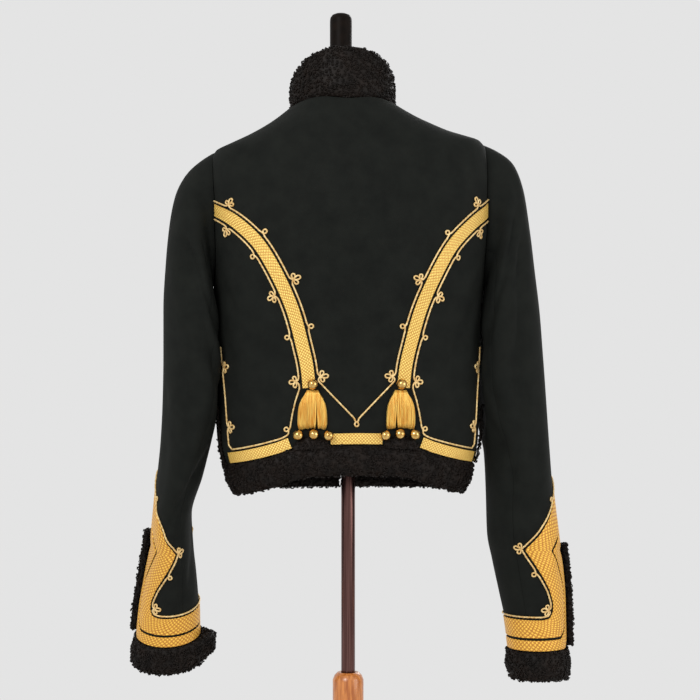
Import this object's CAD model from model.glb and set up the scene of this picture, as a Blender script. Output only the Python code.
import math

import bmesh
import bpy
import numpy as np
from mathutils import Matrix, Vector


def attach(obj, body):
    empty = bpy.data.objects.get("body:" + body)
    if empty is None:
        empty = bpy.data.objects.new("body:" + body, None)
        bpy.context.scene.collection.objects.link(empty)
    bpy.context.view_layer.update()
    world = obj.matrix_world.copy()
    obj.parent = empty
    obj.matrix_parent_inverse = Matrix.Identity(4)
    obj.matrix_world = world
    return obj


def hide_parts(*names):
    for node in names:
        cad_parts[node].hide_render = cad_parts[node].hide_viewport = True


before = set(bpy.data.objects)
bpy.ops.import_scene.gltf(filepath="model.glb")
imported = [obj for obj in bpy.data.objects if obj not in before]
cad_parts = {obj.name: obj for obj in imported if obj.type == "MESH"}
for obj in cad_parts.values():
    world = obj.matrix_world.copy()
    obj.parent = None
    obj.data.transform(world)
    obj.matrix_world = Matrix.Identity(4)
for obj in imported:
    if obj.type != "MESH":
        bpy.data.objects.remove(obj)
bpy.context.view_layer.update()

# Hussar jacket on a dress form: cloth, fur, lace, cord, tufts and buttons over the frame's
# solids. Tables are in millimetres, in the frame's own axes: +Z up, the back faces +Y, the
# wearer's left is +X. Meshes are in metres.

MM = 0.001
ROOT = "root"

# The body's outer surface, the hem seam and the seam lines, as in the frame's source
BODY_SQUARENESS = 2.6
BODY_COLUMNS = ("height", "half_width", "back", "front")
BODY_ROWS = (
    (925, 147, 92, 96),
    (945, 152, 97, 100),
    (962, 159, 100, 103),
    (985, 167, 102, 106),
    (1008, 172, 103, 109),
    (1061, 174, 104, 110),
    (1120, 174, 107, 116),
    (1180, 176, 113, 121),
    (1240, 181, 119, 121),
    (1290, 186, 120, 112),
    (1340, 187, 114, 92),
    (1385, 183, 104, 70),
    (1398, 176, 100, 64),
    (1407, 158, 97, 60),
    (1421, 126, 91, 57),
    (1434, 98, 84, 55),
    (1447, 76, 76, 53),
    (1458, 60, 68, 50),
    (1475, 40, 56, 44),
)
HEM_COLUMNS = ("turn", "height")
HEM_ROWS = ((0, 1007), (18, 1005), (30, 995), (42, 988), (56, 983), (71, 980), (90, 978),
            (180, 978))
SEAM_ROWS = ((56, 1005), (61, 1087), (64, 1112), (68, 1128), (78, 1168), (87, 1193), (98, 1217),
             (110, 1240), (125, 1264), (142, 1282), (162, 1299))
SIDE_SEAM_ROWS = ((30, 980), (27, 1050), (16, 1125), (5, 1180))
ARMHOLE_CENTRE = (1.0, 1304.0)
ARMHOLE_HALF = (49.0, 94.0)
BACK_SEAM_TURN = 86.0
NECK_HALF = (71.0, 65.5)
NECK_MIDDLE = 5.5
# Heights between which the neckline is looked for, and how often that range is halved
NECK_HEIGHTS = (1385.0, 1475.0)
NECK_HALVINGS = 40
# Small steps over which a surface's direction is measured: degrees round, millimetres up
SLICE_TURN = 1.0
SLICE_RISE = 1.5
# Points between two knots when a seam line is spaced evenly
SEAM_LINE_STEPS = 40

# Cloth grids: the frame's own counts times this many
FINE = 5
SEAM_ROW_COUNT = 12 * FINE
UPPER_ARM_SEGMENTS = 5 * FINE
LOWER_ARM_SEGMENTS = 6 * FINE
FRONT_ARM_SEGMENTS = 9 * FINE
NECK_BACK_SEGMENTS = 10 * FINE
NECK_FRONT_SEGMENTS = 5 * FINE
SHOULDER_SEGMENTS = 3 * FINE
CLOTH = 2.0
SEAM_PULL = 0.15

# Rings of each sleeve below its armhole, by side: its outer and inner sides, the middle's y,
# half the depth, the pitch forwards in degrees and how far its back and front draw in
SLEEVE_COLUMNS = ("x_out", "z_out", "x_in", "z_in", "y_mid", "half_depth", "pitch", "bend")
SLEEVE_ROWS = {
    1: (
        (195, 1386, 181, 1206, 1, 52, 0, 0),
        (213, 1369, 179, 1202, 2, 58, 0, 2),
        (228, 1338, 176, 1193, 4, 63, 0, 5),
        (237, 1288, 172, 1176, 6, 66, 0, 8),
        (241.5, 1240, 169, 1152, 8, 67, 0, 11),
        (244.5, 1182, 167, 1118, 9, 68, 0, 12),
        (244.5, 1120, 167, 1078, 9, 68, 0, 12),
        (245.5, 1062, 171, 1040, 6, 67, 0, 9),
        (248, 1010, 182, 1003, -2, 66, 3, 4),
        (252.5, 962, 192.5, 962, -14, 65, 8, 0),
        (257, 912, 206.5, 913, -28, 61, 15, 0),
        (262, 862, 204, 865, -44, 54, 18, 0),
        (268.5, 824, 200, 828, -55, 49, 19, 0),
        (276, 780, 196.5, 784, -67, 44, 19, 0),
        (280, 741, 195.5, 745, -76, 41, 19, 0),
    ),
    -1: (
        (199, 1388, 181, 1206, 1, 52, 0, 0),
        (220, 1372, 179, 1202, 2, 58, 0, 2),
        (234, 1340, 176, 1193, 4, 63, 0, 5),
        (243, 1286, 172, 1176, 6, 66, 0, 8),
        (249, 1235, 169, 1152, 8, 67, 0, 11),
        (256, 1175, 167, 1118, 9, 68, 0, 12),
        (260.5, 1118, 167, 1078, 9, 67, 0, 12),
        (265, 1064, 171, 1038, 6, 66, 0, 9),
        (270, 1000, 184, 990, 2, 64, 0, 4),
        (275, 942, 186.5, 942, 0, 60, 0, 0),
        (283, 880, 188, 884, 0, 54, 0, 0),
        (288, 842, 195, 846, 0, 50, 0, 0),
        (291.5, 800, 204.5, 802, 0, 46, 0, 0),
        (292.5, 762, 213, 762, 0, 43, 0, 0),
        (293.5, 728, 217, 728, 0, 42, 0, 0),
    ),
}
HIND_SEAM_TURN = 117.3
FORE_SEAM_TURN = 240.0
SIDES = ((1, "left"), (-1, "right"))
# Clearance between a sleeve and the body's side, by height
CLEARANCE_COLUMNS = ("height", "gap")
CLEARANCE_ROWS = ((1080, 8.4), (1092, 4.0), (1140, 4.0), (1155, 1.7))
SOFT_PRESS = 2.0

# The jacket's lean on its stand
LEAN_HEIGHTS = (1290.0, 1380.0)
LEFT_DROP = 9.0
LEFT_DROP_REACH = (30.0, 140.0)
RIGHT_RISE = 6.5
RIGHT_RISE_REACH = (122.0, 180.0)
NECK_SHIFT = 8.0
NECK_SHIFT_HEIGHTS = (1385.0, 1465.0)


def columns(names, rows):
    """One array for each named column of a table."""
    return {name: np.array(values, float) for name, values in zip(names, zip(*rows))}


BODY = columns(BODY_COLUMNS, BODY_ROWS)
HEM = columns(HEM_COLUMNS, HEM_ROWS)
SIDE_SEAM = columns(("back", "height"), SIDE_SEAM_ROWS)
CLEARANCE = columns(CLEARANCE_COLUMNS, CLEARANCE_ROWS)


def curve_slopes(xs, ys):
    """Slopes at the points of a smooth curve that never swings past them."""
    steps = np.diff(ys, axis=0) / np.diff(xs).reshape(-1, *([1] * (np.ndim(ys) - 1)))
    same = steps[:-1] * steps[1:] > 0
    total = np.where(same, steps[:-1] + steps[1:], 1.0)
    inner = np.where(same, 2 * steps[:-1] * steps[1:] / total, 0.0)
    return np.concatenate((steps[:1], inner, steps[-1:]))


def smooth(xs, ys, x):
    """Read a smooth curve through the points (xs, ys) at every x."""
    slopes = curve_slopes(xs, ys)
    x = np.clip(x, xs[0], xs[-1])
    i = np.clip(np.searchsorted(xs, x, side="right") - 1, 0, len(xs) - 2)
    step = xs[i + 1] - xs[i]
    t = (x - xs[i]) / step
    return hermite(ys[i], ys[i + 1], slopes[i] * step, slopes[i + 1] * step, t)


def distances(points):
    """Distance from the start of a line of points to each of them."""
    steps = np.linalg.norm(np.diff(points, axis=0), axis=1)
    return np.concatenate(([0.0], np.cumsum(steps)))


def hermite(start, end, start_slope, end_slope, t):
    """Cubic between two values with given slopes."""
    square, cube = t * t, t * t * t
    return ((2 * cube - 3 * square + 1) * start + (cube - 2 * square + t) * start_slope
            + (3 * square - 2 * cube) * end + (cube - square) * end_slope)


def eased(values, limits):
    """Rise softly from 0 to 1 between two limits."""
    t = np.clip((values - limits[0]) / (limits[1] - limits[0]), 0, 1)
    return t * t * (3 - 2 * t)


def leaned(points):
    """Points moved as the jacket leans on its stand."""
    x, y, z = points[..., 0], points[..., 1], points[..., 2]
    rise = RIGHT_RISE * eased(-x, RIGHT_RISE_REACH) - LEFT_DROP * eased(x, LEFT_DROP_REACH)
    shift = NECK_SHIFT * eased(z, NECK_SHIFT_HEIGHTS)
    return np.stack((x + shift, y, z + rise * eased(z, LEAN_HEIGHTS)), axis=-1)


def unit(vectors):
    """Vectors of length one."""
    return vectors / np.maximum(np.linalg.norm(vectors, axis=-1, keepdims=True), 1e-12)


def level_sizes(table, height, y):
    """Half widths of level slices, and their depths on the side where y lies."""
    half_width, back, front = (smooth(table["height"], table[name], height)
                               for name in ("half_width", "back", "front"))
    return half_width, np.where(y >= 0, back, front)


def slice_points(table, angle, height):
    """Points of level slices: squared ovals with their own back and front depth."""
    angle, height = np.broadcast_arrays(np.asarray(angle, float), np.asarray(height, float))
    half_width, depth = level_sizes(table, height, np.sin(angle))
    power = 2 / BODY_SQUARENESS
    x = half_width * np.sign(np.cos(angle)) * np.abs(np.cos(angle)) ** power
    y = depth * np.sign(np.sin(angle)) * np.abs(np.sin(angle)) ** power
    return np.stack((x, y, height), axis=-1)


def slice_normals(table, angle, height):
    """Outward directions on the level slices' surface."""
    turn, rise = math.radians(SLICE_TURN), SLICE_RISE
    around = slice_points(table, angle + turn, height) - slice_points(table, angle - turn, height)
    upward = slice_points(table, angle, height + rise) - slice_points(table, angle, height - rise)
    return unit(np.cross(around, upward))


def places_of(points):
    """Angles and heights straight out from the body's axis through points."""
    height = points[..., 2]
    half_width, depth = level_sizes(BODY, height, points[..., 1])
    power = BODY_SQUARENESS / 2
    x = np.sign(points[..., 0]) * np.abs(points[..., 0] / half_width) ** power
    y = np.sign(points[..., 1]) * np.abs(points[..., 1] / depth) ** power
    return np.arctan2(y, x), height


def place_from_x(x, height):
    """Places on the back half whose distance from the middle is x."""
    half_width = smooth(BODY["height"], BODY["half_width"], np.asarray(height, float))
    share = np.minimum(np.abs(x) / half_width, 1.0) ** (BODY_SQUARENESS / 2)
    return np.arccos(np.copysign(share, x)), np.asarray(height, float)


def place_from_y(y, height):
    """Places on the +X side whose distance behind the middle is y."""
    height = np.asarray(height, float)
    _, depth = level_sizes(BODY, height, np.asarray(y))
    share = np.minimum(np.abs(y) / depth, 1.0) ** (BODY_SQUARENESS / 2)
    return np.arcsin(np.copysign(share, y)), height


def neck_places(turns):
    """Places of the neckline by the turn from the +X side, the back at 90 degrees."""
    x = NECK_HALF[0] * np.cos(turns)
    y = NECK_MIDDLE + NECK_HALF[1] * np.sin(turns)
    low, high = (np.full_like(x, height) for height in NECK_HEIGHTS)
    for _ in range(NECK_HALVINGS):
        middle = (low + high) / 2
        half_width, depth = level_sizes(BODY, middle, y)
        inside = (np.abs(x) / half_width) ** BODY_SQUARENESS + (
            np.abs(y) / depth) ** BODY_SQUARENESS < 1
        low, high = np.where(inside, middle, low), np.where(inside, high, middle)
    share = np.minimum((np.abs(x) / half_width) ** (BODY_SQUARENESS / 2), 1.0)
    return np.copysign(np.arccos(np.copysign(share, x)), y), low


def hem_height(angle):
    """Height of the hem seam at angles round the body."""
    turn = np.abs(np.degrees(angle) - 90) % 360
    return smooth(HEM["turn"], HEM["height"], np.minimum(turn, 360 - turn))


def body_points(places):
    """Points of the jacket's outer surface at (angles, heights)."""
    return slice_points(BODY, places[0], places[1])


def body_normals(places):
    """Outward directions at (angles, heights) of the jacket."""
    return slice_normals(BODY, places[0], places[1])


def joined(*places):
    """Runs of places one after another."""
    return (np.concatenate([place[0] for place in places]),
            np.concatenate([place[1] for place in places]))


def cut(places, part):
    """Some of a run of places."""
    return places[0][part], places[1][part]


def mirrored(places):
    """The same places on the other side of the body."""
    return math.pi - places[0], places[1]


def even_places(places, count):
    """Space count + 1 places evenly along a smooth line through places."""
    knots = np.arange(len(places[0]), dtype=float)
    fine = np.linspace(0, knots[-1], SEAM_LINE_STEPS * len(knots))
    angles, heights = smooth(knots, places[0], fine), smooth(knots, places[1], fine)
    lengths = distances(slice_points(BODY, angles, heights))
    wanted = np.linspace(0, lengths[-1], count + 1)
    return np.interp(wanted, lengths, angles), np.interp(wanted, lengths, heights)


def armhole_places(turns):
    """Places on the +X side of the armhole's edge, by the turns from its top."""
    y = ARMHOLE_CENTRE[0] + ARMHOLE_HALF[0] * np.sin(turns)
    return place_from_y(y, ARMHOLE_CENTRE[1] + ARMHOLE_HALF[1] * np.cos(turns))


def seam_edges():
    """All the seam lines of the +X side, as places that the pieces share."""
    upper = armhole_places(np.radians(np.linspace(BACK_SEAM_TURN, 0, UPPER_ARM_SEGMENTS + 1)))
    lower = armhole_places(np.radians(np.linspace(180, BACK_SEAM_TURN, LOWER_ARM_SEGMENTS + 1)))
    front = armhole_places(np.radians(np.linspace(180, 360, FRONT_ARM_SEGMENTS + 1)))
    seam = np.array(SEAM_ROWS, float)
    start = place_from_x(seam[:1, 0], seam[:1, 1])
    start = (start[0], hem_height(start[0]))
    side_back = joined(start, place_from_x(seam[1:, 0], seam[1:, 1]), cut(upper, slice(0, 1)))
    side = np.array(SIDE_SEAM_ROWS, float)
    start = place_from_y(side[:1, 0], side[:1, 1])
    start = (start[0], hem_height(start[0]))
    side = joined(start, place_from_y(side[1:, 0], side[1:, 1]), cut(lower, slice(0, 1)))
    shoulder = joined(cut(upper, slice(-1, None)), neck_places(np.array([0.0])))
    return {"side_back": even_places(side_back, SEAM_ROW_COUNT),
            "side": even_places(side, SEAM_ROW_COUNT),
            "arm_upper": upper, "arm_lower": lower, "arm_front": front,
            "shoulder": even_places(shoulder, SHOULDER_SEGMENTS)}


def filled(bottom, top, start, end):
    """Places inside four edges of places, blended evenly from all of them."""
    bottom, top, start, end = (body_points(edge) for edge in (bottom, top, start, end))
    u = np.linspace(0, 1, len(bottom))[:, None, None]
    v = np.linspace(0, 1, len(start))[None, :, None]
    points = (bottom[:, None] * (1 - v) + top[:, None] * v
              + start[None] * (1 - u) + end[None] * u)
    points -= (bottom[0] * (1 - u) + bottom[-1] * u) * (1 - v)
    points -= (top[0] * (1 - u) + top[-1] * u) * v
    return places_of(points)


# Soft creases of the body's cloth: where each runs (angle in degrees round the body and
# height), its breadth and its depth, troughs below zero
BODY_CREASE_COLUMNS = ("angle_start", "z_start", "angle_end", "z_end", "breadth", "depth")
BODY_CREASE_ROWS = (
    (25, 1205, 52, 1120, 11, -1.6),
    (32, 1222, 62, 1150, 9, 1.0),
    (22, 1150, 35, 1060, 12, -1.4),
    (155, 1205, 128, 1112, 11, -1.7),
    (148, 1222, 118, 1158, 9, 1.0),
    (158, 1150, 146, 1050, 12, -1.3),
    (70, 1330, 104, 1318, 14, -0.8),
    (60, 1120, 66, 1035, 13, -0.9),
    (112, 1125, 118, 1040, 13, -0.9),
    (84, 1095, 97, 1060, 12, -0.7),
    (40, 1385, 62, 1340, 12, -1.0),
    (140, 1385, 118, 1340, 12, -1.0),
    (-25, 1210, -52, 1140, 11, -1.7),
    (-155, 1210, -128, 1140, 11, -1.7),
    (-32, 1150, -44, 1050, 12, -1.3),
    (-148, 1150, -136, 1050, 12, -1.3),
    (-60, 1330, -78, 1250, 14, -1.0),
    (-120, 1330, -102, 1250, 14, -1.0),
    (-48, 1380, -62, 1335, 12, -1.0),
    (-132, 1380, -118, 1335, 12, -1.0),
)
# Radius at which turns round the body are counted as distances
BODY_ROUND = 150.0
# How unevenly deep and broad a crease is along its run
CREASE_WOBBLE = 0.35
CREASE_WAVES = 9.0
CREASE_SHIFT = 1.7
CREASE_NARROW_END = 0.75
CREASE_WIDENING = 0.5


def flat_creases(names, rows, radius):
    """Creases from a table, each angle also as a distance round at a radius."""
    made = []
    for row in rows:
        crease = dict(zip(names, row))
        for end in ("start", "end"):
            crease["across_" + end] = math.radians(crease["angle_" + end]) * radius
        made.append(crease)
    return made


def crease_depth(creases, along, across):
    """How far a set of soft, uneven creases moves each point outwards."""
    total = np.zeros(np.shape(along))
    for number, crease in enumerate(creases):
        start = np.array((crease["z_start"], crease["across_start"]))
        line = np.array((crease["z_end"], crease["across_end"])) - start
        length = np.dot(line, line)
        share = np.clip(((along - start[0]) * line[0] + (across - start[1]) * line[1]) / length,
                        0, 1)
        distance = np.hypot(along - start[0] - line[0] * share,
                            across - start[1] - line[1] * share)
        wobble = 1 + CREASE_WOBBLE * np.sin(share * CREASE_WAVES + number * CREASE_SHIFT)
        breadth = crease["breadth"] * (CREASE_NARROW_END + CREASE_WIDENING * share)
        total += crease["depth"] * wobble * np.exp(-(distance / breadth) ** 2)
    return total


BODY_CREASES = flat_creases(BODY_CREASE_COLUMNS, BODY_CREASE_ROWS, BODY_ROUND)


def body_crease(places, side):
    """Crease of the body's cloth at (angles, heights) worked out for the +X side."""
    angle = places[0] if side > 0 else math.pi - places[0]
    angle = (angle + math.pi) % (2 * math.pi) - math.pi
    return crease_depth(BODY_CREASES, places[1], angle * BODY_ROUND)


def on_body(places, side=1, lift=0.0):
    """Points on the creased cloth of the body, lifted outwards."""
    normals = body_normals(places)
    height = np.asarray(lift) + body_crease(places, side)
    return body_points(places) + normals * height[..., None], normals


# Creases die out near the armhole, are weaker at the cuff, and stay off the arm's inner side
# above the elbow
CALM_TOP_RINGS = 3.0
CALM_END_RINGS = 1.5
CALM_END_SHARE = 0.25
CALM_INNER_SHARE = 0.9
CALM_INNER_BREADTH = 42.0
CALM_INNER_HEIGHTS = (1000.0, 1060.0)
# Small steps over which a sleeve's direction is measured: in rings and in radians round
RING_STEP = 0.05
ROUND_STEP = 0.03
# Heights over the armhole's bottom where the body's side begins to press a sleeve out
PRESS_BAND = (-2.0, 10.0)
# Sleeve creases by side: height and turn of both ends (turn in degrees from the top of the
# arm, the back of the arm at 90), breadth and depth
CREASE_RADIUS = 50.0
SLEEVE_CREASE_COLUMNS = ("z_start", "angle_start", "z_end", "angle_end", "breadth", "depth")
SLEEVE_CREASE_ROWS = {
    1: (
        (1232, 62, 1180, 140, 13, -5.0),
        (1212, 63, 1070, 153, 14, -4.5),
        (1190, 40, 1060, 95, 16, 2.5),
        (1000, 150, 930, 100, 14, -4.0),
        (985, 235, 940, 300, 15, -5.0),
        (1150, 230, 1010, 290, 18, -3.5),
        (1275, 100, 1235, 170, 8, -2.2),
        (1160, 118, 1090, 170, 8, 1.6),
        (968, 130, 905, 60, 9, -2.2),
        (950, 80, 915, 20, 8, 1.4),
        (930, 120, 880, 90, 8, -1.8),
        (1340, 30, 1270, 75, 12, -1.6),
        (1060, 20, 960, 40, 12, -1.6),
        (1120, -30, 1000, -60, 14, -2.0),
        (1330, -40, 1230, -100, 13, -2.2),
        (900, 170, 830, 140, 9, -1.8),
    ),
    -1: (
        (1262, 65, 1155, 150, 13, -5.0),
        (1230, 52, 1027, 90, 12, -3.5),
        (1235, 88, 1090, 118, 16, 3.0),
        (1060, 150, 950, 110, 15, -3.5),
        (1240, 240, 1100, 300, 18, -4.0),
        (1010, 235, 930, 285, 16, -3.5),
        (1215, 62, 1040, 76, 7, -2.2),
        (1180, 75, 1060, 100, 9, 2.0),
        (1290, 40, 1200, 66, 10, -1.8),
        (1110, 130, 1000, 95, 9, -2.0),
        (1010, 60, 900, 80, 10, -1.6),
        (980, 110, 880, 150, 9, -1.8),
        (1340, 30, 1270, 60, 12, -1.6),
        (1120, -30, 1000, -60, 14, -2.0),
        (1330, -40, 1230, -100, 13, -2.2),
        (900, 30, 840, 60, 9, 1.2),
    ),
}
SLEEVE_CREASES = {side: flat_creases(SLEEVE_CREASE_COLUMNS, rows, CREASE_RADIUS)
                  for side, rows in SLEEVE_CREASE_ROWS.items()}


def sleeve_knots(side, turns):
    """Points at some turns of every ring of a sleeve on the +X side."""
    rings = [body_points(armhole_places(turns))]
    for row in SLEEVE_ROWS[side]:
        size = dict(zip(SLEEVE_COLUMNS, row))
        outer = np.array((size["x_out"], size["y_mid"], size["z_out"]), float)
        inner = np.array((size["x_in"], size["y_mid"], size["z_in"]), float)
        pitch = math.radians(size["pitch"])
        depth = np.array((0, math.cos(pitch), -math.sin(pitch))) * size["half_depth"]
        bend = np.array((size["bend"], 0, 0))
        rings.append((outer + inner) / 2 + (outer - inner) / 2 * np.cos(turns)[..., None]
                     + depth * np.sin(turns)[..., None] - bend * np.sin(turns)[..., None] ** 2)
    return np.array(rings)


def clear_of_body(points):
    """Sleeve points moved out softly where they would press into the body's side."""
    x, y, height = points[..., 0], points[..., 1], points[..., 2]
    half_width, depth = level_sizes(BODY, height, y)
    share = np.minimum(np.abs(y) / depth, 1.0) ** BODY_SQUARENESS
    least = half_width * (1 - share) ** (1 / BODY_SQUARENESS)
    least += smooth(CLEARANCE["height"], CLEARANCE["gap"], height)
    over = x - least
    pressed = least + (over + np.sqrt(over ** 2 + SOFT_PRESS ** 2)) / 2
    bottom = ARMHOLE_CENTRE[1] - ARMHOLE_HALF[1]
    share = eased(bottom - height, PRESS_BAND)
    return np.stack((x + (pressed - x) * share, y, height), axis=-1)


def sleeve_plain(side, along, turns):
    """Points of the uncreased sleeve at places down it (in rings) and turns round it."""
    along, turns = np.broadcast_arrays(np.asarray(along, float), np.asarray(turns, float))
    knots = sleeve_knots(side, turns)
    numbers = np.arange(len(knots), dtype=float)
    slopes = curve_slopes(numbers, knots)
    i = np.clip(np.floor(along).astype(int), 0, len(knots) - 2)
    t = (along - i)[..., None]
    pick = (i, *np.indices(i.shape))
    after = (i + 1, *np.indices(i.shape))
    return clear_of_body(hermite(knots[pick], knots[after], slopes[pick], slopes[after], t))


def sleeve_normals(side, along, turns):
    """Outward directions of a sleeve on the +X side."""
    last = len(SLEEVE_ROWS[side])
    low, high = np.clip(along - RING_STEP, 0, last), np.clip(along + RING_STEP, 0, last)
    down = sleeve_plain(side, high, turns) - sleeve_plain(side, low, turns)
    around = (sleeve_plain(side, along, turns + ROUND_STEP)
              - sleeve_plain(side, along, turns - ROUND_STEP))
    return unit(np.cross(down, around))


def on_sleeve(side, along, turns, lift=0.0):
    """Points on the creased cloth of a sleeve on the +X side, lifted outwards."""
    points = sleeve_plain(side, along, turns)
    normals = sleeve_normals(side, along, turns)
    middle = (sleeve_plain(side, along, 0 * turns)[..., 2]
              + sleeve_plain(side, along, 0 * turns + math.pi)[..., 2]) / 2
    total = np.zeros(points.shape[:-1])
    wrapped = turns % (2 * math.pi)
    for shift in (0.0, -2 * math.pi):
        total += crease_depth(SLEEVE_CREASES[side], middle, (wrapped + shift) * CREASE_RADIUS)
    to_end = len(SLEEVE_ROWS[side]) - along
    calm = np.clip(along / CALM_TOP_RINGS, 0, 1)
    calm = calm * np.clip(to_end / CALM_END_RINGS, CALM_END_SHARE, 1)
    inner = np.exp(-((np.degrees(wrapped) - 180) / CALM_INNER_BREADTH) ** 2)
    calm = calm * (1 - CALM_INNER_SHARE * inner * eased(middle, CALM_INNER_HEIGHTS))
    return points + normals * (np.asarray(lift) + total * calm)[..., None], normals


def to_side(points, side):
    """Points of the +X side, put on the wanted side and leaned."""
    return leaned(points * np.array((side, 1.0, 1.0)))


def both_to_side(points, ways, side):
    """Points of the +X side and their outward directions, on either side."""
    moved = to_side(points, side)
    return moved, unit(to_side(points + ways, side) - moved)


# Meshes

def link(name, mesh):
    """Object in the scene for a mesh."""
    thing = bpy.data.objects.new(name, mesh)
    bpy.context.scene.collection.objects.link(thing)
    return thing


def finish_piece(thing, finish, slot, *nodes):
    """Give a piece its material, its body and the solids it stands for."""
    if finish is not None:
        thing.data.materials.clear()
        thing.data.materials.append(finish)
    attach(thing, ROOT)
    if nodes:
        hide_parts(*nodes)
    return thing


def mesh_of(name, points, faces, uvs=None, sharp=None):
    """Smooth mesh from points in millimetres, with a map in millimetres if given."""
    mesh = bpy.data.meshes.new(name)
    mesh.from_pydata((np.asarray(points) * MM).tolist(), [], faces)
    if uvs is not None:
        layer = mesh.uv_layers.new(name="UVMap")
        loops = np.zeros(len(mesh.loops), np.int32)
        mesh.loops.foreach_get("vertex_index", loops)
        layer.data.foreach_set("uv", (np.asarray(uvs)[loops] * MM).astype(np.float32).ravel())
    mesh.shade_smooth()
    if sharp:
        mesh.set_sharp_from_angle(angle=math.radians(sharp))
    return mesh


def grid_lengths(grid, level=False):
    """Distances across and along a grid of points, for its map; a level map gives all
    points of one row the same distance, so a weave stays square to a bent lace."""
    steps = np.linalg.norm(np.diff(grid, axis=0), axis=2)
    if level:
        steps[:] = steps.mean(axis=1, keepdims=True)
    across = np.zeros(grid.shape[:2])
    across[1:] = np.cumsum(steps, axis=0)
    along = np.zeros(grid.shape[:2])
    along[:, 1:] = np.cumsum(np.linalg.norm(np.diff(grid, axis=1), axis=2), axis=1)
    return np.stack((across, along), axis=-1)


def wall(name, outer, inner, ring=False, sharp=50, level=False):
    """Closed wall between two grids of points; a ring's first and last rows join."""
    across, up = outer.shape[:2]
    count = across * up
    points = np.concatenate((outer.reshape(-1, 3), inner.reshape(-1, 3)))
    uvs = np.concatenate([grid_lengths(outer, level).reshape(-1, 2)] * 2)
    rows = np.arange(across if ring else across - 1)
    i, j = np.meshgrid(rows, np.arange(up - 1), indexing="ij")
    k = (i + 1) % across
    a, b, c, d = i * up + j, k * up + j, k * up + j + 1, i * up + j + 1
    front = np.stack((a, b, c, d), axis=-1).reshape(-1, 4)
    faces = [front, front[:, ::-1] + count]
    for end in (0, up - 1):
        a, b = rows * up + end, (rows + 1) % across * up + end
        rim = np.stack((b, a, a + count, b + count), axis=-1)
        faces.append(rim if end == 0 else rim[:, ::-1])
    if not ring:
        for start in (0, (across - 1) * up):
            a = start + np.arange(up - 1)
            rim = np.stack((a, a + 1, a + 1 + count, a + count), axis=-1)
            faces.append(rim if start == 0 else rim[:, ::-1])
    mesh = mesh_of(name, points, np.concatenate(faces).tolist(), uvs, sharp)
    return outward(mesh)


def ring_faces(rings, sides, first=0):
    """Faces between rings of points that follow each other."""
    faces = []
    for low in range(first, first + (rings - 1) * sides, sides):
        for k in range(sides):
            n = (k + 1) % sides
            faces.append((low + k, low + n, low + sides + n, low + sides + k))
    return faces


def outward(mesh):
    """Turn a closed mesh's faces outwards."""
    bm = bmesh.new()
    bm.from_mesh(mesh)
    bmesh.ops.recalc_face_normals(bm, faces=bm.faces)
    bm.to_mesh(mesh)
    bm.free()
    return mesh


def pulled(grid, pull=SEAM_PULL):
    """Draw a grid of points in from its four edges, to leave a seam."""
    moved = grid.copy()
    moved[:, 0] += unit(moved[:, 1] - moved[:, 0]) * pull
    moved[:, -1] += unit(moved[:, -2] - moved[:, -1]) * pull
    moved[0] += unit(moved[1] - moved[0]) * pull
    moved[-1] += unit(moved[-2] - moved[-1]) * pull
    return moved


SEAM_SINK = 0.7
SEAM_BREADTH = 3.2


def from_ends(grid):
    """Distance of each point of a grid from the nearer end of its column."""
    steps = np.linalg.norm(np.diff(grid, axis=0), axis=2)
    ahead = np.concatenate((np.zeros((1, grid.shape[1])), np.cumsum(steps, axis=0)))
    return np.minimum(ahead, ahead[-1] - ahead)


def seam_sink(grid):
    """How far the cloth turns in at its seams, for each point of a grid."""
    distance = np.minimum(from_ends(grid), from_ends(grid.transpose(1, 0, 2)).T)
    return -SEAM_SINK * np.exp(-(distance / SEAM_BREADTH) ** 2)


def declare_cloth(thing, grid):
    """State the flat cut of a cloth piece, measured over its grid of points."""
    wide, tall = grid_lengths(grid).max(axis=(0, 1)) * MM
    return thing


def cloth_panel(name, places, side=1):
    """Cloth of one body panel over a grid of places."""
    points, normals = on_body(places, side)
    points = pulled(points + normals * seam_sink(points)[..., None])
    outer, inner = points, points - normals * CLOTH
    thing = link(name, wall(name, to_side(outer, side), to_side(inner, side)))
    return declare_cloth(thing, points)


def back_cloth(edges):
    """Back between the two side-back seams, up to the shoulder seams and the neck."""
    start = joined(edges["side_back"], cut(edges["arm_upper"], slice(1, None)))
    shoulder = edges["shoulder"]
    neck = neck_places(np.linspace(0, math.pi, NECK_BACK_SEGMENTS + 1))
    top = joined(shoulder, cut(neck, slice(1, -1)),
                 mirrored(cut(shoulder, slice(None, None, -1))))
    angles = np.linspace(start[0][0], math.pi - start[0][0], len(top[0]))
    bottom = (angles, hem_height(angles))
    return cloth_panel("cloth_back", filled(bottom, top, start, mirrored(start)))


def side_back_cloth(edges, side, word):
    """Side back from the side-back seam to the side seam."""
    start, end, top = edges["side"], edges["side_back"], edges["arm_lower"]
    angles = np.linspace(start[0][0], end[0][0], len(top[0]))
    bottom = (angles, hem_height(angles))
    return cloth_panel("cloth_side_back_" + word, filled(bottom, top, start, end), side)


def front_cloth(edges, side, word):
    """Front from the middle edge to the side seam."""
    end = joined(edges["side"], cut(edges["arm_front"], slice(1, None)))
    neck = neck_places(np.linspace(-math.pi / 2, 0, NECK_FRONT_SEGMENTS + 1))
    top = joined(neck, cut(edges["shoulder"], slice(-2, None, -1)))
    angles = np.linspace(-math.pi / 2, end[0][0], len(top[0]))
    bottom = (angles, hem_height(angles))
    heights = np.linspace(bottom[1][0], top[1][0], len(end[0]))
    start = (np.full_like(heights, -math.pi / 2), heights)
    return cloth_panel("cloth_front_" + word, filled(bottom, top, start, end), side)


SLEEVE_RINGS = 130
TOP_SLEEVE_COUNT = 60
UNDER_SLEEVE_COUNT = 36
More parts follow.
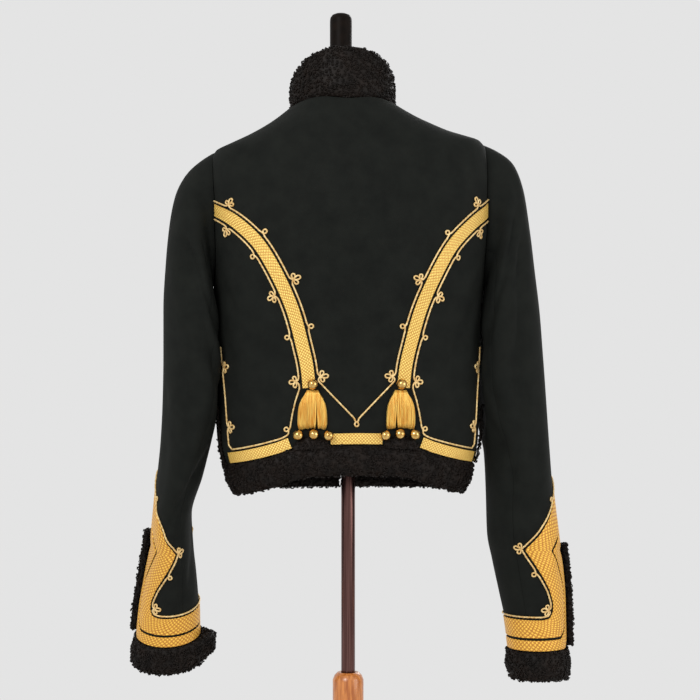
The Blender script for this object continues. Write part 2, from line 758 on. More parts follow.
# Seam allowance of a sleeve inside the armhole: how far in, and how far under the body cloth
ALLOWANCE = ((4.0, 3.2), (0.2, 2.7))


def sleeve_cloth(side, word, kind, first, last, count):
    """Top or under sleeve between two seam turns in degrees."""
    turns = np.radians(np.linspace(first, last, count + 1))
    along = np.linspace(0, len(SLEEVE_ROWS[side]), SLEEVE_RINGS + 1)
    turns, along = np.meshgrid(turns, along, indexing="ij")
    points, normals = on_sleeve(side, along, turns)
    points = pulled(points + normals * seam_sink(points)[..., None])
    way = unit(points[:, 0] - points[:, 1])
    rows = [points[:, 0] + way * into - normals[:, 0] * under for into, under in ALLOWANCE]
    outer = np.concatenate((np.stack(rows, axis=1), points), axis=1)
    inner = outer - np.concatenate((normals[:, [0, 0]], normals), axis=1) * CLOTH
    name = f"cloth_{kind}_sleeve_{word}"
    thing = link(name, wall(name, to_side(outer, side), to_side(inner, side)))
    return declare_cloth(thing, points)


# Materials

# A wave texture of scale 1 repeats at this many metres
WAVE_OF_SCALE_1 = 0.314


def linear(hex_colour):
    """Linear colour from an sRGB hex value."""
    channels = [int(hex_colour[i:i + 2], 16) / 255 for i in (0, 2, 4)]
    return (*[c / 12.92 if c <= 0.04045 else ((c + 0.055) / 1.055) ** 2.4 for c in channels], 1.0)


def add_node(tree, kind, settings=None, inputs=None):
    """Add a node with its settings; a pair (node, output) as an input makes a link."""
    node = tree.nodes.new(kind)
    for name, value in (settings or {}).items():
        setattr(node, name, value)
    for key, value in (inputs or {}).items():
        if isinstance(value, tuple) and isinstance(value[0], bpy.types.Node):
            tree.links.new(value[0].outputs[value[1]], node.inputs[key])
        else:
            node.inputs[key].default_value = value
    return node


def new_material(name, **inputs):
    """Principled material with constants set on its own sockets, and its coordinates."""
    made = bpy.data.materials.new(name)
    made.use_nodes = True
    shader = made.node_tree.nodes["Principled BSDF"]
    for key, value in inputs.items():
        shader.inputs[key.replace("_", " ")].default_value = value
    made.diffuse_color = shader.inputs["Base Color"].default_value
    tree = made.node_tree
    return made, tree, shader, add_node(tree, "ShaderNodeTexCoord")


def noise(tree, place, scale, detail, **more):
    """Noise over coordinates; its scale counts swells in a metre."""
    inputs = {"Vector": place, "Scale": scale, "Detail": detail, **more}
    return add_node(tree, "ShaderNodeTexNoise", inputs=inputs), "Fac"


def waves(tree, place, repeat_mm, **more):
    """Waves over coordinates that repeat at a real distance."""
    inputs = {"Vector": place, "Scale": WAVE_OF_SCALE_1 / (repeat_mm * MM)}
    inputs.update({name.replace("_", " "): value for name, value in more.items()})
    return add_node(tree, "ShaderNodeTexWave", inputs=inputs), "Fac"


def drawn_out(tree, place, share):
    """An object's coordinates, shrunk upwards so that a pattern over them is drawn out."""
    inputs = {"Vector": (place, "Object"), "Scale": (1.0, 1.0, share)}
    return add_node(tree, "ShaderNodeMapping", inputs=inputs), "Vector"


def calculated(tree, operation, *values):
    """Sum done on numbers or node outputs."""
    return add_node(tree, "ShaderNodeMath", {"operation": operation},
                    dict(enumerate(values))), "Value"


def ramp(tree, shader, factor, *stops):
    """Base colour of a shader, from a ramp through (position, hex colour) stops."""
    node = add_node(tree, "ShaderNodeValToRGB", inputs={0: factor})
    elements = node.color_ramp.elements
    while len(elements) < len(stops):
        elements.new(0.5)
    for element, (position, colour) in zip(elements, stops):
        element.position = position
        element.color = linear(colour)
    tree.links.new(node.outputs["Color"], shader.inputs["Base Color"])


def bump(tree, shader, height, distance_mm, strength):
    """Bump of a real depth on a shader."""
    node = add_node(tree, "ShaderNodeBump", inputs={"Height": height, "Strength": strength,
                                                    "Distance": distance_mm * MM})
    tree.links.new(node.outputs["Normal"], shader.inputs["Normal"])


def uneven_gloss(tree, shader, factor, low, high):
    """Roughness of a shader between two values."""
    node = add_node(tree, "ShaderNodeMapRange", inputs={"Value": factor, "To Min": low,
                                                        "To Max": high})
    tree.links.new(node.outputs["Result"], shader.inputs["Roughness"])


def fulled_wool():
    """Black pelisse cloth: fulled wool with a short nap, so a dull, very dark face with
    faint cloudy shade where the nap lies another way."""
    made, tree, shader, place = new_material(
        "Fulled black wool", Roughness=0.85, Specular_IOR_Level=0.12, Sheen_Weight=0.03,
        Sheen_Roughness=0.5)
    shader.inputs["Sheen Tint"].default_value = linear("6F7468")
    nap = noise(tree, (place, "Object"), 38.0, 4.0, Roughness=0.6)
    ramp(tree, shader, nap, (0.25, "0F110F"), (0.8, "191B18"))
    # Threads are 0.4 mm apart; drawn at 1.1 mm so that the render shows a grain
    bump(tree, shader, noise(tree, (place, "Object"), 900.0, 2.0), 0.25, 0.6)
    return made


def lamb_curl():
    """Black lamb fur: dyed wool curls with an oily gloss on their turned tops."""
    made, tree, shader, place = new_material("Black lamb curl", Roughness=0.6,
                                             Specular_IOR_Level=0.2)
    patches = noise(tree, (place, "Object"), 60.0, 2.0)
    ramp(tree, shader, patches, (0.3, "0D0805"), (0.75, "1A110B"))
    hairs = noise(tree, (place, "Object"), 1500.0, 2.0)
    bump(tree, shader, hairs, 0.2, 0.5)
    return made


def woven_gold(name, weave_mm, light, dark):
    """Gold lace: flat gilt threads woven over silk in a small lozenge, so bright crossings
    with orange silk between them. The map runs across and along the lace."""
    made, tree, shader, place = new_material(name, Roughness=0.42, Metallic=0.25,
                                             Specular_IOR_Level=0.5)
    threads = []
    for turn in (45.0, -45.0):
        turned = add_node(tree, "ShaderNodeMapping",
                          inputs={"Vector": (place, "UV"),
                                  "Rotation": (0.0, 0.0, math.radians(turn))})
        threads.append(waves(tree, (turned, "Vector"), weave_mm, Distortion=1.2, Detail=1.0,
                             Detail_Scale=2.0))
    both = calculated(tree, "MULTIPLY", *threads)
    grain = noise(tree, (place, "UV"), 520.0, 3.0)
    mixed = calculated(tree, "MULTIPLY_ADD", grain, 0.7, both)
    ramp(tree, shader, mixed, (0.2, dark), (0.95, light))
    bump(tree, shader, mixed, 0.5, 0.8)
    return made


def gilt_cord():
    """Pale gilt cord: two gilt threads twisted hard round each other."""
    made, tree, shader, place = new_material("Twisted gilt cord", Roughness=0.45,
                                             Metallic=0.3, Specular_IOR_Level=0.5)
    wear = noise(tree, (place, "Object"), 260.0, 3.0)
    ramp(tree, shader, wear, (0.3, "C79A55"), (0.7, "F3D89C"))
    bump(tree, shader, wear, 0.12, 0.5)
    return made


def gilt_thread():
    """Tuft threads: fine gilt threads laid side by side, brighter on top."""
    made, tree, shader, place = new_material("Gilt tuft thread", Roughness=0.4,
                                             Metallic=0.3, Specular_IOR_Level=0.5)
    # Streaks about 1.5 mm apart, drawn out along the hanging threads
    shade = noise(tree, drawn_out(tree, place, 0.08), 520.0, 2.0)
    ramp(tree, shader, shade, (0.3, "E39C2E"), (0.65, "FFDA74"))
    return made


def gilt_brass():
    """Gilt brass buttons: polished, with a little soft tarnish."""
    made, tree, shader, place = new_material("Gilt brass", Roughness=0.18, Metallic=1.0)
    tarnish = noise(tree, (place, "Object"), 220.0, 3.0)
    ramp(tree, shader, tarnish, (0.35, "B98A42"), (0.65, "E6C27A"))
    return made


def turned_beech():
    """Stand wood: turned beech under an orange-brown varnish, grain along its height."""
    made, tree, shader, place = new_material("Varnished turned beech", Roughness=0.3,
                                             Coat_Weight=0.35, Coat_Roughness=0.15)
    # Grain lines about 3 mm apart, drawn out ten times as long up the column
    grain = noise(tree, drawn_out(tree, place, 0.1), 330.0, 4.0, Distortion=0.4)
    ramp(tree, shader, grain, (0.3, "A0561F"), (0.72, "D98A45"))
    bump(tree, shader, grain, 0.08, 0.4)
    return made


def pole_chrome():
    """Stand pole: chromed steel with a brown cast and fine drawing lines."""
    made, tree, shader, place = new_material("Drawn chromed steel", Metallic=1.0)
    lines = noise(tree, drawn_out(tree, place, 0.01), 700.0, 2.0)
    ramp(tree, shader, lines, (0.3, "49302D"), (0.7, "74544F"))
    uneven_gloss(tree, shader, lines, 0.2, 0.34)
    return made


def black_enamel():
    """Neck cap and post: wood under black enamel, a little dusty."""
    made, tree, shader, place = new_material("Black enamel", Specular_IOR_Level=0.06)
    dust = noise(tree, (place, "Object"), 90.0, 4.0)
    ramp(tree, shader, dust, (0.4, "0F0A07"), (0.8, "19110C"))
    uneven_gloss(tree, shader, dust, 0.4, 0.6)
    return made


def cotton_jersey():
    """Form cover: dark cotton jersey stretched over the padding, with fine ribs."""
    made, tree, shader, place = new_material("Dark cotton jersey", Roughness=0.9,
                                             Specular_IOR_Level=0.2)
    # Ribs are 0.8 mm apart; drawn at 1.6 mm so that the render shows them
    ribs = waves(tree, (place, "Object"), 1.6, Distortion=0.6)
    ramp(tree, shader, ribs, (0.2, "2A2826"), (0.9, "383532"))
    bump(tree, shader, ribs, 0.3, 0.5)
    return made


# Fur

FUR_NODES = ("collar", "fur_hem_back", "fur_hem_front_left", "fur_hem_front_right",
             "fur_cuff_left", "fur_cuff_right", "fur_strip_left", "fur_strip_right",
             "fur_slit_left", "fur_slit_right", "fur_front_left", "fur_front_right")
CURL_SIDES = 3
CURL_STEPS = 7
CURL_WINDING = 2.6 * math.pi
CURL_REACH = 2.5
CURL_CLOSING = 0.55
CURL_FOOT = 0.4
CURL_RISE = 2.0
CURL_THICK = 1.15
CURL_TAPER = 0.35
CURL_SPACING = 3.5
CURL_SCALE = 0.88
# Most curls tried for each square of the spacing, their tilt in radians and their sizes
CURL_CROWDING = 2.2
CURL_TILT = 0.5
CURL_SIZES = (0.7, 1.25)
# How far the skin of a fur piece lies under the fur's own outside
FUR_INSET = 2.9
# In metres: longest edge of the skin before it is halved, and how near its points may lie
SKIN_EDGE = 0.012
SKIN_WELD = 0.00002


def curl_mesh():
    """One lamb curl: a short tube that winds more than once round and rises a little."""
    points = []
    for i in range(CURL_STEPS + 1):
        t = i / CURL_STEPS
        turn = t * CURL_WINDING
        reach = CURL_REACH * (1 - CURL_CLOSING * t)
        middle = np.array((reach * math.cos(turn), reach * math.sin(turn),
                           CURL_FOOT + CURL_RISE * t))
        out = np.array((math.cos(turn), math.sin(turn), 0.0))
        thick = CURL_THICK * (1 - CURL_TAPER * t)
        for k in range(CURL_SIDES):
            angle = 2 * math.pi * k / CURL_SIDES
            points.append(middle + out * (thick * math.cos(angle))
                          + np.array((0, 0, thick * math.sin(angle))))
    last = CURL_STEPS * CURL_SIDES
    faces = [(a, d, c, b) for a, b, c, d in ring_faces(CURL_STEPS + 1, CURL_SIDES)]
    faces += [tuple(range(CURL_SIDES)), tuple(reversed(range(last, last + CURL_SIDES)))]
    return outward(mesh_of("lamb_curl", points, faces))


def placed_curls(tree, start):
    """Nodes that place a curl at each of many spots, turned and sized at random."""
    seed = (start, "Seed")
    density = calculated(tree, "POWER", (start, "Spacing"), -2.0)
    most = calculated(tree, "MULTIPLY", density, CURL_CROWDING)
    spots = add_node(tree, "GeometryNodeDistributePointsOnFaces",
                     {"distribute_method": "POISSON"},
                     {"Mesh": (start, "Geometry"), "Distance Min": (start, "Spacing"),
                      "Density Max": most, "Seed": seed})
    shape = add_node(tree, "GeometryNodeObjectInfo", inputs={"Object": (start, "Curl")})
    spin = add_node(tree, "FunctionNodeRandomValue", {"data_type": "FLOAT_VECTOR"},
                    {0: (-CURL_TILT, -CURL_TILT, 0.0), 1: (CURL_TILT, CURL_TILT, 6.283),
                     "Seed": seed})
    aimed = add_node(tree, "FunctionNodeRotateRotation", {"rotation_space": "LOCAL"},
                     {"Rotation": (spots, "Rotation"), "Rotate By": (spin, "Value")})
    smallest, largest = CURL_SIZES
    sized = add_node(tree, "FunctionNodeRandomValue", {"data_type": "FLOAT"},
                     {2: smallest, 3: largest, "Seed": seed})
    scale = calculated(tree, "MULTIPLY", (sized, 1), (start, "Size"))
    return add_node(tree, "GeometryNodeInstanceOnPoints",
                    inputs={"Points": (spots, "Points"), "Instance": (shape, "Geometry"),
                            "Rotation": (aimed, "Rotation"), "Scale": scale})


def curl_tree(finish):
    """Geometry Nodes that set curls all over a fur piece."""
    tree = bpy.data.node_groups.new("Lamb curls", "GeometryNodeTree")
    face = tree.interface
    for name, kind in (("Geometry", "Geometry"), ("Curl", "Object"), ("Spacing", "Float"),
                       ("Size", "Float"), ("Seed", "Int")):
        face.new_socket(name, in_out="INPUT", socket_type="NodeSocket" + kind)
    face.new_socket("Geometry", in_out="OUTPUT", socket_type="NodeSocketGeometry")
    start = add_node(tree, "NodeGroupInput")
    real = add_node(tree, "GeometryNodeRealizeInstances",
                    inputs={"Geometry": (placed_curls(tree, start), "Instances")})
    both = add_node(tree, "GeometryNodeJoinGeometry")
    tree.links.new(start.outputs["Geometry"], both.inputs[0])
    tree.links.new(real.outputs["Geometry"], both.inputs[0])
    dyed = add_node(tree, "GeometryNodeSetMaterial", inputs={"Geometry": (both, "Geometry"),
                                                             "Material": finish})
    end = add_node(tree, "NodeGroupOutput")
    tree.links.new(dyed.outputs["Geometry"], end.inputs[0])
    return tree


def socket_id(tree, name):
    """Identifier of a tree's named input."""
    return next(item.identifier for item in tree.interface.items_tree
                if item.name == name and item.in_out == "INPUT")


def made_real(thing):
    """Plain mesh of a piece with its modifiers worked out."""
    depsgraph = bpy.context.evaluated_depsgraph_get()
    mesh = bpy.data.meshes.new_from_object(thing.evaluated_get(depsgraph))
    thing.modifiers.clear()
    thing.data = mesh
    return thing


# Fur that humps up over the hem seam under each tuft: its ends, its height over the seam and
# reach under it, and its lift off the cloth in the middle, at its edge and underneath
HUMP_ENDS = (35.0, 81.0)
HUMP_HEIGHT = 12.5
HUMP_FOOT = 3.0
HUMP_LIFT = 4.0
HUMP_EDGE = 0.5
HUMP_INNER = 0.2
# Height near the hem seam at which places across it are taken
HEM_SEAM_HEIGHT = 1005.0


def fur_hump(side, word):
    """Low mound of fur skin on the cloth under a tuft, between the pieces of hem lace."""
    shares = np.linspace(0, 1, 25)[:, None]
    up = np.linspace(0, 1, 9)[None, :]
    x = HUMP_ENDS[0] + (HUMP_ENDS[1] - HUMP_ENDS[0]) * shares
    seam = hem_height(place_from_x(x, np.full_like(x, HEM_SEAM_HEIGHT))[0])
    arch = np.sin(math.pi * shares) ** 0.5
    heights = seam - HUMP_FOOT + (HUMP_HEIGHT * arch + HUMP_FOOT) * up
    places = place_from_x(x + 0 * up, heights)
    lift = HUMP_LIFT * arch * (1 - up ** 4) + HUMP_EDGE
    outer, _ = on_body(places, side, lift)
    inner, _ = on_body(places, side, np.full_like(lift, HUMP_INNER))
    return wall("fur_hump_" + word, to_side(outer, side), to_side(inner, side))


def fur_skin(mesh, node, inset):
    """Skin of a fur piece, drawn in from a solid's outside."""
    bm = bmesh.new()
    bm.from_mesh(mesh)
    bmesh.ops.remove_doubles(bm, verts=bm.verts, dist=SKIN_WELD)
    bmesh.ops.subdivide_edges(bm, edges=[e for e in bm.edges if e.calc_length() > SKIN_EDGE],
                              cuts=1, use_grid_fill=True)
    bmesh.ops.triangulate(bm, faces=bm.faces)
    bm.normal_update()
    moves = [vertex.normal * (-inset * MM) for vertex in bm.verts]
    for vertex, move in zip(bm.verts, moves):
        # The edge sewn to the cloth or the lace keeps its height
        if node.startswith(("fur_hem", "fur_cuff")):
            move.z = max(move.z, 0.0)
        elif node == "collar":
            move.z = min(move.z, 0.0)
        vertex.co += move
    skin = bpy.data.meshes.new("fur_skin")
    bm.to_mesh(skin)
    bm.free()
    skin.shade_smooth()
    return skin


def fur_piece(node, tree, curl, seed, mound=None):
    """Fur over one of the frame's fur solids, or over a mound: a skin set with curls."""
    if mound:
        skin = fur_skin(mound, node, 0.0)
    else:
        skin = fur_skin(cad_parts[node].data, node, FUR_INSET)
    thing = link("fur_" + node.removeprefix("fur_"), skin)
    curls = thing.modifiers.new("Curls", "NODES")
    curls.node_group = tree
    for name, value in (("Curl", curl), ("Spacing", CURL_SPACING * MM), ("Size", CURL_SCALE),
                        ("Seed", seed)):
        curls[socket_id(tree, name)] = value
    made_real(thing)
    return finish_piece(thing, None, "fur", *(() if mound else (node,)))


# Gold lace

LACE_LIFT = 0.4
# Share of the way across a lace, and how thick it is there in millimetres
LACE_PROFILE = ((0.0, 0.75), (0.05, 1.15), (0.14, 1.2), (0.18, 0.85), (0.24, 1.05), (0.5, 1.2),
                (0.76, 1.05), (0.82, 0.85), (0.86, 1.2), (0.95, 1.15), (1.0, 0.75))
BACK_LACE_WIDTH = 16.5
HEM_LACE_WIDTH = 14.0
HEM_LACE_ENDS = (33.0, 84.0)
BACK_LACE_END = 1080.0
BACK_LACE_FOOT = 60.5
LACE_STEP = 1.5
LINE_STEP = 1.0
# Room between the armhole's edge and where laces and cords begin
ARMHOLE_ROOM = 2.0
# A back lace's path: how far over the tuft it leaves the seam, how it is softened, and how
# far it is drawn on past the armhole before it is cut
SEAM_LEFT_OVER = 8.0
PATH_STEP = 3.0
PATH_PASSES = 12
PATH_AHEAD = np.linspace(24, 2, 12)
# The rest of a hem lace: points of its line, its gap over the fur, and its ends past the
# side seam (in radians round the body) and at the front edge (in degrees)
HEM_LINE_POINTS = 160
HEM_LACE_OVER = 1.2
FLANK_PAST_SEAM = 0.17
FRONT_PAST_SEAM = 0.10
FRONT_EDGE_TURN = -84.5
# Heights at which distances along the hem lace are turned into angles
MIDDLE_HEIGHT = 1010.0
FLANK_HEIGHT = 1000.0
# Cuff bands on the sleeve laid flat: the outer edge's distance round from the slit and up
# from the sleeve's end, then the inner edge's
CUFF_UPPER_ROWS = (
    (0, 229, 0, 188), (24, 209, 12, 177), (44, 187, 26, 163), (66, 161, 39.5, 150),
    (91, 138, 52, 137), (78, 119, 44, 123), (66, 100, 36, 106), (57, 84, 29, 90),
    (51, 66, 26.5, 68), (51, 54, 26, 48), (56, 45, 27, 29), (66, 43, 36, 19.5),
    (92, 43, 92, 19), (122, 43, 122, 19),
)
CUFF_LOWER_ROWS = (
    (0, 184, 0, 165), (12, 173, 5, 158), (26, 159, 12, 149), (37.5, 146, 21, 142),
    (49, 136.5, 29, 137), (41, 123, 22, 126), (33, 106, 17, 110), (26, 90, 13, 92),
    (23.5, 68, 12, 68), (23, 48, 12, 48), (24, 27, 12, 20), (35, 16, 24, 2),
    (92, 15.5, 92, 1.5), (122, 15.5, 122, 1.5),
)
SLIT_TURNS = {1: -22.0, -1: -3.0}
# Lower part of a sleeve that is measured for its cuff, in rings, and the steps taken there
CUFF_RINGS = 7.0
CUFF_STEPS_DOWN = 140
CUFF_STEPS_ROUND = 72
# Height over a sleeve's end at which its girth is taken, and how a band's edges are eased
CUFF_GIRTH_UP = 30.0
CUFF_EDGE_STEP = LACE_STEP * 1.35
CUFF_EDGE_PASSES = 3


def lay_on_body(points, side, lift):
    """Points near the plain body of the +X side, laid on its creased cloth."""
    laid, ways = on_body(places_of(points), side, lift)
    return both_to_side(laid, ways, side)


def sleeve_scale(side):
    """Reach up from a sleeve's end and girth, for places down the sleeve."""
    last = len(SLEEVE_ROWS[side])
    along = np.linspace(last - CUFF_RINGS, last, CUFF_STEPS_DOWN + 1)
    turns = np.linspace(0, 2 * math.pi, CUFF_STEPS_ROUND + 1)
    grid = sleeve_plain(side, along[:, None], turns[None, :])
    middles = grid[:, :-1].mean(axis=1)
    steps = np.linalg.norm(np.diff(middles, axis=0), axis=1)
    reach = np.concatenate((np.cumsum(steps[::-1])[::-1], [0.0]))
    girth = np.linalg.norm(np.diff(grid, axis=1), axis=2).sum(axis=1)
    return along, reach, girth


SLEEVE_SCALES = {side: sleeve_scale(side) for side, _ in SIDES}


def lay_on_sleeve(flat, side, lift):
    """Points of the sleeve laid flat (round from the slit, up from its end) on its cloth."""
    along, reach, girth = SLEEVE_SCALES[side]
    down = np.interp(flat[..., 1], reach[::-1], along[::-1])
    around = flat[..., 0] / np.interp(down, along, girth) * 2 * math.pi
    laid, ways = on_sleeve(side, down, around + math.radians(SLIT_TURNS[side]), lift)
    return both_to_side(laid, ways, side)


def even_line(points, step):
    """Points about one step apart along a line of points."""
    reach = distances(points)
    wanted = np.linspace(0, reach[-1], max(2, int(round(reach[-1] / step)) + 1))
    return np.stack([np.interp(wanted, reach, points[:, k]) for k in range(points.shape[1])],
                    axis=1)


def softened(points, passes):
    """Line of points with its corners eased and its two ends kept."""
    for _ in range(passes):
        before = np.concatenate((points[:1], points[:-1]))
        after = np.concatenate((points[1:], points[-1:]))
        eased_line = (before + 2 * points + after) / 4
        eased_line[0], eased_line[-1] = points[0], points[-1]
        points = eased_line
    return points


def lace_piece(name, lay, spots, side, finish, ring=False):
    """Lace over a grid of spots, along it first and then across, with raised edges."""
    shares = np.linspace(0, 1, spots.shape[1])
    profile = np.array(LACE_PROFILE)
    thick = np.interp(shares, profile[:, 0], profile[:, 1])
    outer, _ = lay(spots, side, (LACE_LIFT + thick)[None, :])
    inner, _ = lay(spots, side, np.full_like(thick, LACE_LIFT)[None, :])
    thing = link(name, wall(name, outer, inner, ring, sharp=70, level=True))
    return finish_piece(thing, finish, "gold_lace", name)


def across_shares():
    """Places across a lace where its thickness is given, and one between each two."""
    shares = np.array(LACE_PROFILE)[:, 0]
    return np.sort(np.concatenate((shares, (shares[1:] + shares[:-1]) / 2)))


def across_of(path):
    """Directions across a line that lies on the plain body."""
    return unit(np.cross(body_normals(places_of(path)), unit(np.gradient(path, axis=0))))


def at_height(line, height):
    """Number of the point of a line that is nearest to a height."""
    return int(np.argmin(np.abs(line[:, 2] - height)))


def lace_grid(path, width):
    """Spots across a lace whose middle line is a path near the plain body."""
    across = across_of(path)
    offsets = (across_shares() - 0.5) * width
    return path[:, None] + across[:, None] * offsets[None, :, None]


def outside_armhole(points):
    """Whether points of the +X side lie outside the armhole by a little room."""
    y = (points[..., 1] - ARMHOLE_CENTRE[0]) / (ARMHOLE_HALF[0] + ARMHOLE_ROOM)
    z = (points[..., 2] - ARMHOLE_CENTRE[1]) / (ARMHOLE_HALF[1] + ARMHOLE_ROOM)
    return y * y + z * z > 1


def lace_path(edges):
    """Middle line of a back lace, from past the armhole down the seam to the tuft."""
    seam = body_points(edges["side_back"])[::-1]
    seam = seam[seam[:, 2] > BACK_LACE_END + SEAM_LEFT_OVER]
    foot = body_points(place_from_x(np.array([BACK_LACE_FOOT]), np.array([BACK_LACE_END])))
    line = softened(even_line(np.concatenate((seam, foot)), PATH_STEP), PATH_PASSES)
    ahead = line[0] + unit(line[0] - line[4]) * PATH_AHEAD[:, None]
    return even_line(np.concatenate((ahead, line)), LINE_STEP)


def trimmed_at_armhole(columns_of_points):
    """Lines that start past the armhole, cut where they leave it and spaced alike."""
    made = []
    for line in columns_of_points:
        first = int(np.argmax(outside_armhole(line)))
        made.append(even_line(line[first:], LINE_STEP))
    count = max(len(line) for line in made)
    even = []
    for line in made:
        knots = np.linspace(0, 1, len(line))
        even.append(np.stack([np.interp(np.linspace(0, 1, count), knots, line[:, k])
                              for k in range(3)], axis=1))
    return np.array(even).transpose(1, 0, 2)


def back_lace(edges, side, word, finish):
    """Lace down the side-back seam, its upper end cut along the armhole's seam."""
    grid = lace_grid(lace_path(edges), BACK_LACE_WIDTH)
    spots = trimmed_at_armhole(grid.transpose(1, 0, 2))
    lace_piece("back_lace_" + word, lay_on_body, spots, side, finish)


def hem_line(first, last, up):
    """Line round the body at a height over the hem seam."""
    angles = np.linspace(first, last, HEM_LINE_POINTS)
    return body_points((angles, hem_height(angles) + up))


def hem_laces(edges, finish):
    """Lace over the hem fur: the middle of the back, the flanks and the fronts."""
    up = HEM_LACE_WIDTH / 2 + HEM_LACE_OVER
    seam_angle = edges["side"][0][0]
    middle_end, flank_end = HEM_LACE_ENDS
    first, last = (float(place_from_x(way * middle_end, MIDDLE_HEIGHT)[0]) for way in (1, -1))
    middle = even_line(hem_line(first, last, up), LACE_STEP)
    lace_piece("hem_lace_middle", lay_on_body, lace_grid(middle, HEM_LACE_WIDTH), 1, finish)
    flank = float(place_from_x(flank_end, FLANK_HEIGHT)[0])
    stretches = (("flank", seam_angle + FLANK_PAST_SEAM, flank),
                 ("front", math.radians(FRONT_EDGE_TURN), seam_angle - FRONT_PAST_SEAM))
    for kind, first, last in stretches:
        path = even_line(hem_line(first, last, up), LACE_STEP)
        for side, word in SIDES:
            lace_piece(f"hem_lace_{kind}_{word}", lay_on_body,
                       lace_grid(path, HEM_LACE_WIDTH), side, finish)


def cuff_half_girth(side, up):
    """Half the way round a sleeve at a height over its end."""
    along, reach, girth = SLEEVE_SCALES[side]
    return float(np.interp(np.interp(up, reach[::-1], along[::-1]), along, girth)) / 2


def cuff_edges(rows, side):
    """Outer and inner edge of a cuff band all round the sleeve laid flat."""
    rows = np.array(rows, float)
    half = cuff_half_girth(side, CUFF_GIRTH_UP)
    rows = np.concatenate((rows, [(half, rows[-1, 1], half, rows[-1, 3])]))
    fine = softened(even_line(rows, CUFF_EDGE_STEP), CUFF_EDGE_PASSES)
    back = fine[:0:-1] * np.array((-1, 1, -1, 1))
    return np.concatenate((back[1:], fine))


def cuff_lace(kind, rows, side, word, finish):
    """Band of lace round a cuff that rises to a point over the slit."""
    edges = cuff_edges(rows, side)
    shares = across_shares()[:, None]
    spots = edges[:, None, :2] * (1 - shares) + edges[:, None, 2:] * shares
    lace_piece(f"cuff_lace_{kind}_{word}", lay_on_sleeve, spots, side, finish, ring=True)


# Cords

CORD_RADIUS = 1.15
CORD_LIFT = 0.2
CORD_TWIST = 5.6
CORD_STEP = 0.9
CORD_SIDES = 6
CORD_STRANDS = 3
CORD_LOBE = 0.16
CORD_FROM_LACE = 12.2
CUFF_CORD_OUT = 4.2
# Loops of an ornament, each with its turn from straight out, its length and its breadth
PETALS = ((70.0, 7.6, 4.6), (0.0, 9.4, 5.0), (-70.0, 7.6, 4.6))
FOOT_CENTRE = 3.9
FOOT_ENDS = ((4.4, 0.2), (1.6, 1.4))
# How far open a petal is at its base, in radians, its points, and its widest place's share
PETAL_OPEN = 0.18
PETAL_POINTS = 13
PETAL_FULL = 0.77
EYE_LINE = ((-4.6, 0.2), (-1.9, 0.8), (1.3, 1.9), (2.9, 4.4), (1.9, 6.6), (0.0, 7.5), (-1.9, 6.6),
            (-2.9, 4.4), (-1.3, 1.9), (1.9, 0.8), (4.6, 0.2))
INNER_STATIONS = ((1312, "foot"), (1275, "eye"), (1216, "foot"), (1157, "eye"), (1094, "foot"))
OUTER_STATIONS = ((1285, "foot"), (1249, "eye"), (1198, "foot"), (1145, "eye"), (1088, "foot"))
OUTER_TAIL = ((77.5, 1063), (81, 1048), (83.5, 1034), (84.6, 1026), (87, 1020))
V_POINT_HEIGHT = 1038.0
V_TOP_HEIGHT = 1088.0
V_EYE_START = 3.2
HEM_CORD_UP = 18.5
SLIT_CORD_BACK = 24.0
SLIT_CORD_TOP = 1132.0
SLIT_CORD_BEND = 5.0
SLIT_CORNER_ROOM = 0.04
SLIT_STATIONS = ((1028, "foot"), (1104, "foot"))
HEM_CORD_START = (92.0, 1018.0)
TAIL_EYE_HEIGHT = 1026.0
CUFF_CORD_STATIONS = ((34, 198, "eye"), (91, 138, "foot"), (72, 110, "eye"), (51, 56, "foot"))


def foot_line():
    """Crow's foot laid flat: three open petals that one cord makes in turn."""
    points = [(-x, y) for x, y in FOOT_ENDS]
    for turn, length, breadth in PETALS:
        angle = math.radians(turn)
        for t in np.linspace(PETAL_OPEN, 2 * math.pi - PETAL_OPEN, PETAL_POINTS):
            out = length * (1 - math.cos(t)) / 2
            aside = breadth / 2 / PETAL_FULL * math.sin(t) * math.sin(t / 2)
            points.append((out * math.sin(angle) + aside * math.cos(angle),
                           FOOT_CENTRE + out * math.cos(angle) - aside * math.sin(angle)))
    points += reversed(FOOT_ENDS)
    return np.array(points)


ORNAMENTS = {"foot": foot_line(), "eye": np.array(EYE_LINE)}


def with_ornament(line, at, out, kind):
    """Line of points with an ornament set in at one of them, standing out to one side."""
    spot, way = line[at], out[at]
    along = unit(line[min(at + 3, len(line) - 1)] - line[max(at - 3, 0)])
    flat = ORNAMENTS[kind]
    made = spot + flat[:, :1] * along + flat[:, 1:] * way
    reach = flat[-1, 0]
    far = np.linalg.norm(line - spot, axis=1) > reach
    before = line[:at][far[:at]]
    after = line[at + 1:][far[at + 1:]]
    return before, made, after


def with_ornaments(line, out, stations):
    """Line of points with all its ornaments, given as (index, kind)."""
    pieces, start = [], 0
    for at, kind in sorted(stations):
        before, made, after = with_ornament(line, at, out, kind)
        keep = len(line) - len(after)
        pieces += [line[start:len(before)] if start < len(before) else line[:0], made]
        start = keep
    pieces.append(line[start:])
    return np.concatenate(pieces)


